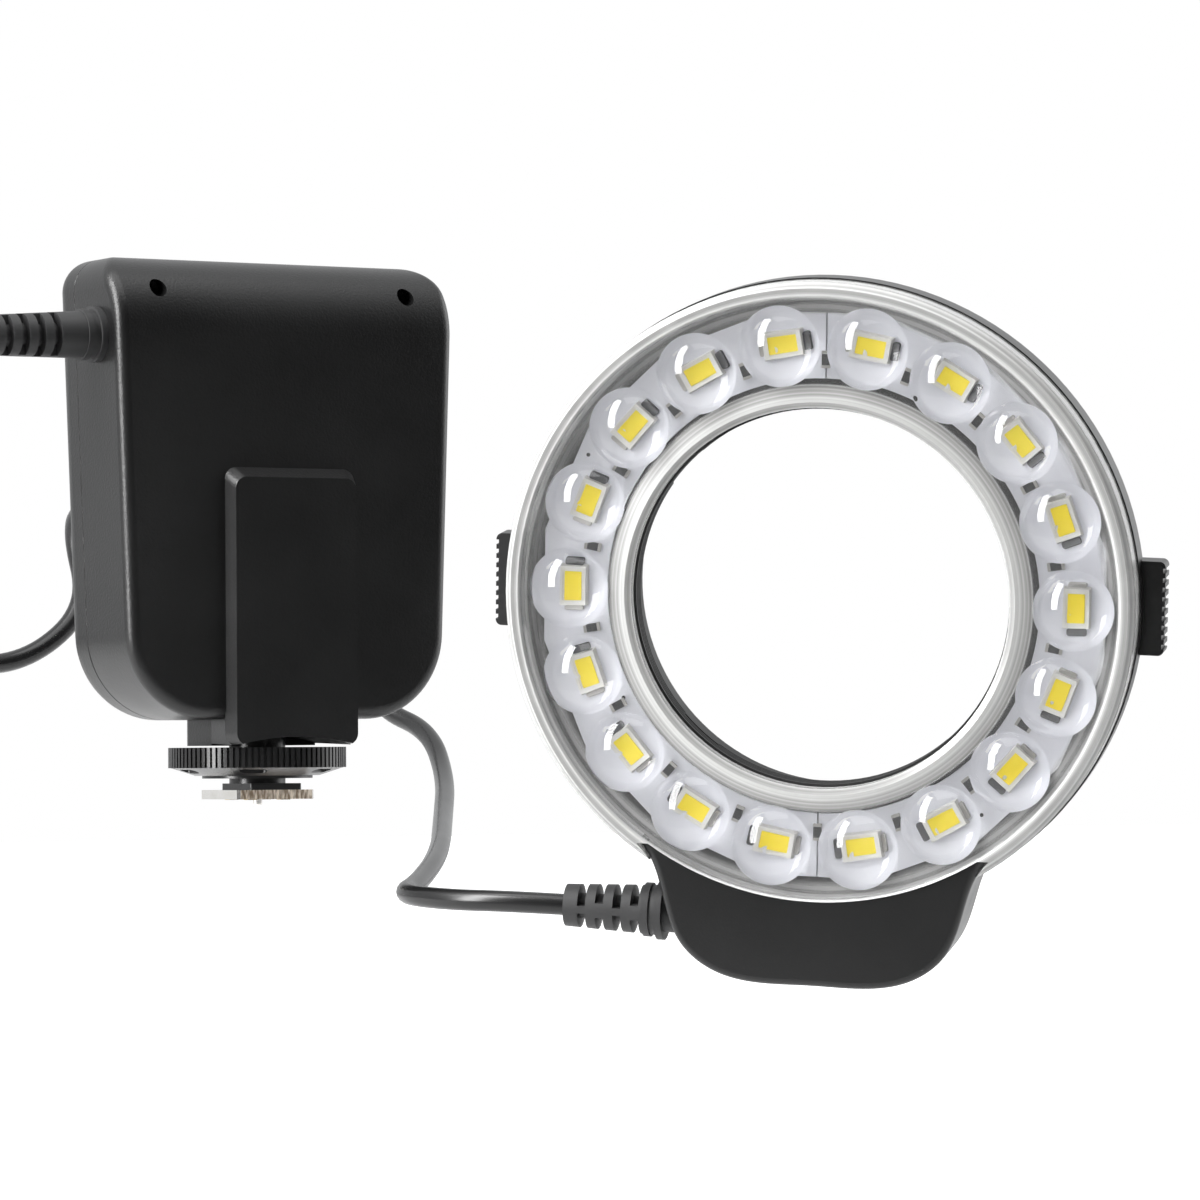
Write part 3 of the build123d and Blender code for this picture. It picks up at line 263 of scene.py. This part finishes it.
def clear_cover():
    """Clear over the lamps; the rim and the funnel round the bore are turned, the funnel slightly frosty as
    its finish, and the rim pale and frosty as painted light for the light let in through its clear wall.
    """
    made, tree, shader = new_material("clear_cover")
    shader.inputs["IOR"].default_value = CLEAR_PLASTIC_IOR
    place = vector_node(tree, "SUBTRACT", place_in(tree), HEAD_AT)
    height = vector_node(tree, "DOT_PRODUCT", place, head_z)
    far = vector_node(tree, "LENGTH", place)
    squares = math_node(tree, "SUBTRACT", times(tree, far, far), times(tree, height, height))
    radius = math_node(tree, "SQRT", math_node(tree, "MAXIMUM", squares, 0.0))
    # past the ridge the cover turns pale and frosty: painted light for the light let in through its clear
    # wall
    rim = step_at(tree, radius, COVER_RIDGE - EDGE_INSIDE, COVER_RIDGE + EDGE_OUTSIDE)
    funnel = step_at(tree, radius, COVER_FUNNEL + EDGE_INSIDE, COVER_FUNNEL - EDGE_OUTSIDE)
    on_plate = step_at(tree, distance(tree, height, COVER_PLATE), PLATE_FAR, PLATE_NEAR)
    past_board = step_at(tree, radius, BOARD_EDGE - BOARD_INSIDE, BOARD_EDGE + BOARD_OUTSIDE)
    plate = times(tree, on_plate, times_add(tree, past_board, EDGE_HAZE, PLATE_HAZE))
    frost_and_painted_light = math_node(tree, "MAXIMUM", math_node(tree, "MAXIMUM", rim, funnel), plate)
    rings = tree.nodes.new("ShaderNodeCombineXYZ")
    tree.links.new(radius, rings.inputs["X"])
    tree.links.new(height, rings.inputs["Y"])
    lines = tree.nodes.new("ShaderNodeTexNoise")
    lines.inputs["Scale"].default_value = TURNED_SCALE
    lines.inputs["Detail"].default_value = 3.0
    tree.links.new(rings.outputs[0], lines.inputs["Vector"])
    turned = times_add(tree, lines.outputs["Fac"], 0.5, 0.2)
    clear = times_add(tree, times(tree, frost_and_painted_light, turned), -1.0, 1.0)
    tree.links.new(clear, shader.inputs["Transmission Weight"])
    tree.links.new(times_add(tree, frost_and_painted_light, 0.2, 0.03), shader.inputs["Roughness"])
    lined = ramp(tree, lines.outputs["Fac"], (0.45, 0.45, 0.44), (0.97, 0.97, 0.96), 0.38, 0.58)
    shade = blend(tree, frost_and_painted_light, (0.985, 0.985, 0.99, 1), lined)
    tree.links.new(shade, shader.inputs["Base Color"])
    return made


def display_window():
    """A clear pane with a black border printed behind it."""
    made, tree, shader = new_material("display_window")
    shader.inputs["IOR"].default_value = CLEAR_PLASTIC_IOR
    shader.inputs["Roughness"].default_value = 0.03
    split = tree.nodes.new("ShaderNodeSeparateXYZ")
    tree.links.new(place_in(tree), split.inputs[0])
    past_edges = [
        step_at(tree, distance(tree, split.outputs[axis], middle), half - WINDOW_EDGE, half)
        for axis, middle, half in (("X", 0.0, WINDOW_HALF[0]), ("Z", WINDOW_Z, WINDOW_HALF[1]))
    ]
    border = math_node(tree, "MAXIMUM", *past_edges)
    tree.links.new(math_node(tree, "SUBTRACT", 1.0, border), shader.inputs["Transmission Weight"])
    tree.links.new(ramp(tree, border, (0.97, 0.98, 0.97), (0.006, 0.006, 0.007)), shader.inputs["Base Color"])
    return made


def brushed(name, dark, light, rough):
    """Plated metal with fine streaks."""
    made, tree, shader = new_material(name)
    shader.inputs["Metallic"].default_value = 1.0
    streak = noise(tree, STREAK_SCALE, 4.0)
    tree.links.new(ramp(tree, streak, dark, light), shader.inputs["Base Color"])
    tree.links.new(spread(tree, streak, *rough), shader.inputs["Roughness"])
    bump(tree, shader, streak, 0.1, 0.00003)
    return made


def foot_nickel():
    """Polished nickel; the plate's sheared ends are brown and streaked from top to bottom."""
    made, tree, shader = new_material("foot_nickel")
    shader.inputs["Metallic"].default_value = 1.0
    split = tree.nodes.new("ShaderNodeSeparateXYZ")
    tree.links.new(place_in(tree, "Normal"), split.inputs[0])
    sheared = step_at(tree, math_node(tree, "ABSOLUTE", split.outputs["Y"]), SHEARED_FROM, SHEARED_TO)
    streak = noise(tree, SHEARED_SCALE, 4.0, (1, 0.3, 0.25))
    plain = noise(tree, PLAIN_SCALE, 2.0)
    bright = ramp(tree, plain, (0.84, 0.82, 0.78), (0.9, 0.88, 0.85))
    brown = ramp(tree, streak, (0.32, 0.24, 0.17), (0.95, 0.86, 0.75), 0.38, 0.62)
    tree.links.new(blend(tree, sheared, bright, brown), shader.inputs["Base Color"])
    tree.links.new(times_add(tree, sheared, 0.45, 0.16), shader.inputs["Roughness"])
    bump(tree, shader, times(tree, streak, sheared), 0.25, 0.00005)
    return made


def grey(value):
    """A grey that is a little blue."""
    return (value, value, value * 1.03)


# finish by short name, and the solids that wear each
look = {
    "shell": moulded("shell_black", grey(0.004), grey(0.0055), (0.32, 0.38), 1900.0, 0.9, 0.00006),
    "head": moulded("head_black", grey(0.004), grey(0.0055), (0.28, 0.34), 1900.0, 0.5),
    "relief": moulded("relief_rubber", grey(0.02), grey(0.03), (0.5, 0.6), 1800.0, 0.2),
    "cord": moulded("cord_jacket", grey(0.006), grey(0.009), (0.22, 0.3), 1500.0, 0.1),
    "latch": moulded("latch_black", grey(0.009), grey(0.013), (0.34, 0.42)),
    "wheel": moulded("wheel_black", grey(0.008), grey(0.012), (0.24, 0.32)),
    "insert": moulded("insert_black", grey(0.02), grey(0.03), (0.45, 0.55)),
    "screw": moulded("screw_black", grey(0.02), grey(0.035), (0.3, 0.4), metal=0.8),
    "adapter": moulded("adapter_black", grey(0.006), grey(0.009), (0.5, 0.6)),
    "button": moulded("button_grey", grey(0.045), grey(0.06), (0.42, 0.5)),
    "ready": moulded("ready_lamp", (0.35, 0.02, 0.015), (0.45, 0.03, 0.02), (0.15, 0.2)),
    "cover": clear_cover(),
    "window": display_window(),
    "glass": moulded("display_glass", (0.14, 0.17, 0.13), (0.17, 0.2, 0.15), (0.25, 0.3)),
    "board": moulded("circuit_board", (0.01, 0.06, 0.03), (0.015, 0.09, 0.045), (0.35, 0.45)),
    "lamp_board": moulded("lamp_board_white", (0.86, 0.87, 0.93), (0.9, 0.91, 0.96), (0.35, 0.45)),
    "lamp": moulded("lamp_frame", (0.75, 0.74, 0.7), (0.85, 0.84, 0.8), (0.4, 0.5)),
    "phosphor": moulded("phosphor", (0.92, 0.72, 0.03), (0.97, 0.8, 0.08), (0.5, 0.6), 6000.0),
    "resistor": moulded("resistor_body", grey(0.02), grey(0.03), (0.3, 0.4)),
    "solder": moulded("solder", (0.5, 0.49, 0.47), (0.62, 0.6, 0.57), (0.35, 0.45), metal=0.7),
    # the darker solder on the lamps' cathode ends is painted shade
    "solder_painted_shade": moulded("solder_painted_shade", (0.11, 0.11, 0.115), (0.17, 0.17, 0.175), (0.5, 0.6), metal=0.6),
    "foot": foot_nickel(),
    "nickel": brushed("nickel", (0.7, 0.68, 0.64), (0.88, 0.86, 0.82), (0.16, 0.26)),
    "pin": moulded("pin_nickel", (0.85, 0.83, 0.8), (0.9, 0.88, 0.85), (0.45, 0.55), metal=1.0),
    "brass": brushed("contact_brass", (0.75, 0.55, 0.25), (0.88, 0.7, 0.38), (0.15, 0.25)),
    "cell": moulded("cell_wrap", (0.1, 0.105, 0.115), (0.13, 0.135, 0.15), (0.25, 0.32)),
}
by_node = {
    "shell": ("controller_front_shell", "controller_rear_shell", "foot_block", "battery_door"),
    "head": ("rear_housing", "junction_cover", "back_plate"),
    "latch": ("latch_left", "latch_right"),
    "relief": ("controller_strain_relief", "ring_strain_relief"),
    "cord": ("sync_cord",),
    "wheel": ("locking_wheel", "clamp_washer", "shoe_stud"),
    "insert": ("contact_insert",),
    "screw": ("case_screws", "back_screws"),
    "adapter": ("adapter_ring",),
    "button": (*(f"menu_button_{n}" for n in (1, 2, 3, 4)), "test_button", "power_switch"),
    "ready": ("ready_lamp",),
    "cover": ("front_cover",),
    "window": ("display_window",),
    "glass": ("display_module",),
    "board": ("main_board",),
    "lamp_board": ("led_board_left", "led_board_right"),
    "lamp": ("lamps_left", "lamps_right"),
    "resistor": ("resistors",),
    "foot": ("foot_plate",),
    "nickel": ("bay_contact", "door_contact", "door_pin"),
    "pin": ("centre_pin",),
    "brass": ("side_contacts",),
    "cell": tuple(f"cell_{n}" for n in (1, 2, 3, 4)),
}
for key, names in by_node.items():
    for name in names:
        mesh = nodes[name].data
        mesh.materials.clear()
        mesh.materials.append(look[key])
cord.data.materials.append(look["cord"])


# Pieces
PIECE_SHARP, SOLID_SHARP = math.radians(35), math.radians(28)


def piece(name, bm, material):
    """One object of the given faces, which stays with the root body."""
    mesh = bpy.data.meshes.new(name)
    bm.to_mesh(mesh)
    bm.free()
    mesh.materials.append(look[material])
    mesh.shade_smooth()
    mesh.set_sharp_from_angle(angle=PIECE_SHARP)
    made = link(bpy.data.objects.new(name, mesh))
    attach(made, "root")


def rounded_block(bm, size, corner, place, segments=4):
    """A block with rounded upright corners, its base at z 0 of the place."""
    half_x, half_y, height = size[0] / 2, size[1] / 2, size[2]
    corner = min(corner, half_x, half_y)
    outline = []
    for quarter in range(4):
        middle_x = (half_x - corner) * (1 if quarter in (0, 3) else -1)
        middle_y = (half_y - corner) * (1 if quarter in (0, 1) else -1)
        for step in range(segments + 1):
            angle = math.pi / 2 * (quarter + step / segments)
            outline.append((middle_x + corner * math.cos(angle), middle_y + corner * math.sin(angle)))
    low = [bm.verts.new(place @ Vector((x, y, 0))) for x, y in outline]
    high = [bm.verts.new(place @ Vector((x, y, height))) for x, y in outline]
    bm.faces.new(list(reversed(low)))
    bm.faces.new(high)
    count = len(outline)
    for index in range(count):
        after = (index + 1) % count
        bm.faces.new((low[index], low[after], high[after], high[index]))


def around(angle, radius, height):
    """A place on the ring head: x outwards, y along the circle, z towards the subject."""
    return HEAD @ Matrix.Rotation(angle, 4, "Z") @ Matrix.Translation((radius, 0, height))


# the yellow phosphor in each lamp's recess, as two pieces like the lamps
for side, first in (("right", 0), ("left", LAMP_COUNT // 2)):
    bm = bmesh.new()
    for index in range(first, first + LAMP_COUNT // 2):
        angle = HALF_PITCH - math.pi / 2 + 2 * HALF_PITCH * index
        place = around(angle, LAMP_CIRCLE, LAMP_TOP - LAMP_RECESS)
        rounded_block(bm, (*PHOSPHOR, LAMP_RECESS * PHOSPHOR_FILL), PHOSPHOR_CORNER, place)
    piece(f"phosphor_{side}", bm, "phosphor")

# the tinned ends of the resistors between the lamps
bm = bmesh.new()
for index in range(LAMP_COUNT):
    angle = HALF_PITCH + 2 * HALF_PITCH * index
    for end in (-1, 1):
        place = around(angle, RESISTOR_CIRCLE + end * (RESISTOR[0] / 2 - RESISTOR_END_INSET), 0)
        size = (RESISTOR_END, RESISTOR[1] + RESISTOR_END_LAP[0], RESISTOR[2] + RESISTOR_END_LAP[1])
        rounded_block(bm, size, RESISTOR_END_CORNER, place)
piece("resistor_ends", bm, "solder")

# the solder at the two ends of each lamp: the cathode end is painted dark as painted shade, the anode end is
# bright
for end, length, name, finish in (
    (-1, CATHODE_LENGTH, "lamp_cathodes", "solder_painted_shade"),
    (1, ANODE_LENGTH, "lamp_anodes", "solder"),
):
    bm = bmesh.new()
    for index in range(LAMP_COUNT):
        angle = 2 * HALF_PITCH * index
        place = around(angle, LAMP_CIRCLE, 0) @ Matrix.Translation((0, end * (LAMP_LENGTH + length) / 2, 0))
        rounded_block(bm, (TERMINAL_WIDTH, length, TERMINAL_HEIGHT), TERMINAL_CORNER, place)
    piece(name, bm, finish)

# the dark dots on the lamp boards
bm = bmesh.new()
for turn_deg, radius in BOARD_DOTS:
    place = around(math.radians(turn_deg), radius * MM, 0)
    rounded_block(bm, (DOT_WIDTH, DOT_WIDTH, DOT_HEIGHT), DOT_WIDTH / 2, place, DOT_SEGMENTS)
piece("board_dots", bm, "insert")

# Smooth shading of the solids
for obj in nodes.values():
    mesh = obj.data
    mesh.shade_smooth()
    mesh.set_sharp_from_angle(angle=SOLID_SHARP)

# Floor, world and lamps
FLOOR_Z, FLOOR_REACH, FLOOR_GLOW = -0.105, 6.0, 0.9
# the side that the photograph is taken from, and how far that way the floor is painted dark as painted shade
DARK_SIDE, PAINTED_SHADE_FROM, PAINTED_SHADE_TO = (-0.509, -0.861, 0.0), 0.08, 0.35
WORLD_BACK, WORLD_FRONT, WORLD_FROM, WORLD_TO = 0.9, 0.06, -0.1, 0.5


def build_floor():
    mesh = bpy.data.meshes.new("floor")
    corners = [(x * FLOOR_REACH, y * FLOOR_REACH, FLOOR_Z) for x, y in ((-1, -1), (1, -1), (1, 1), (-1, 1))]
    mesh.from_pydata(corners, [], [(0, 1, 2, 3)])
    made, tree, shader = new_material("floor_white")
    shader.inputs["Roughness"].default_value = 0.9
    toward = vector_node(tree, "DOT_PRODUCT", place_in(tree), DARK_SIDE)
    cloud = noise(tree, FLOOR_SCALE)
    pale = ramp(tree, cloud, (0.8, 0.8, 0.8), (0.82, 0.82, 0.82))
    # the dark floor colour towards DARK_SIDE is painted shade
    dark = ramp(tree, cloud, (0.1, 0.1, 0.1), (0.12, 0.12, 0.12))
    shade = blend(tree, step_at(tree, toward, PAINTED_SHADE_FROM, PAINTED_SHADE_TO), pale, dark)
    tree.links.new(shade, shader.inputs["Base Color"])
    path = tree.nodes.new("ShaderNodeLightPath")
    glow = times(tree, path.outputs["Is Camera Ray"], FLOOR_GLOW)
    shader.inputs["Emission Color"].default_value = (1, 1, 1, 1)
    tree.links.new(glow, shader.inputs["Emission Strength"])
    mesh.materials.append(made)
    floor = link(bpy.data.objects.new("floor", mesh))


def build_world():
    world = bpy.data.worlds.new("studio")
    bpy.context.scene.world = world
    world.use_nodes = True
    tree = world.node_tree
    tree.nodes.clear()
    out = tree.nodes.new("ShaderNodeOutputWorld")
    path = tree.nodes.new("ShaderNodeLightPath")
    seen = math_node(tree, "MAXIMUM", path.outputs["Is Camera Ray"], path.outputs["Is Transmission Ray"])
    # the studio is white behind and beside the object and dark on the photographer's side
    toward = vector_node(tree, "DOT_PRODUCT", place_in(tree, "Generated"), DARK_SIDE)
    lit = tree.nodes.new("ShaderNodeBackground")
    lit.inputs["Color"].default_value = (0.98, 0.99, 1.0, 1)
    fall = tree.nodes.new("ShaderNodeMapRange")
    fall.interpolation_type = "SMOOTHSTEP"
    fall.inputs["From Min"].default_value, fall.inputs["From Max"].default_value = WORLD_FROM, WORLD_TO
    fall.inputs["To Min"].default_value, fall.inputs["To Max"].default_value = WORLD_BACK, WORLD_FRONT
    tree.links.new(toward, fall.inputs["Value"])
    tree.links.new(fall.outputs["Result"], lit.inputs["Strength"])
    shown = tree.nodes.new("ShaderNodeBackground")
    shown.inputs["Color"].default_value = (1, 1, 1, 1)
    shown.inputs["Strength"].default_value = 1.0
    mix = tree.nodes.new("ShaderNodeMixShader")
    tree.links.new(seen, mix.inputs[0])
    tree.links.new(lit.outputs[0], mix.inputs[1])
    tree.links.new(shown.outputs[0], mix.inputs[2])
    tree.links.new(mix.outputs[0], out.inputs["Surface"])


def lamp(name, place, aim, size, power):
    """A softbox of the given size in metres and power in watts."""
    data = bpy.data.lights.new(name, "AREA")
    data.shape = "RECTANGLE"
    data.size, data.size_y = size
    data.energy = power
    made = link(bpy.data.objects.new(name, data))
    made.location = place
    made.rotation_mode = "QUATERNION"
    made.rotation_quaternion = (Vector(aim) - Vector(place)).to_track_quat("-Z", "Y")


build_floor()
build_world()
lamp("left_softbox", (-1.25, -0.12, 0.6), (0, -0.05, 0.05), (0.45, 1.7), 47)
lamp("high_strip", (-0.71, 0.18, 0.98), (0.05, -0.15, 0.04), (0.2, 0.9), 3)
lamp("right_softbox", (1.3, -0.1, 0.4), (0, 0, 0.05), (0.8, 1.2), 6)
lamp("top_softbox", (-0.1, -0.35, 1.3), (0, 0, 0.05), (1.1, 1.1), 9)

bpy.context.scene.view_settings.view_transform = "Standard"
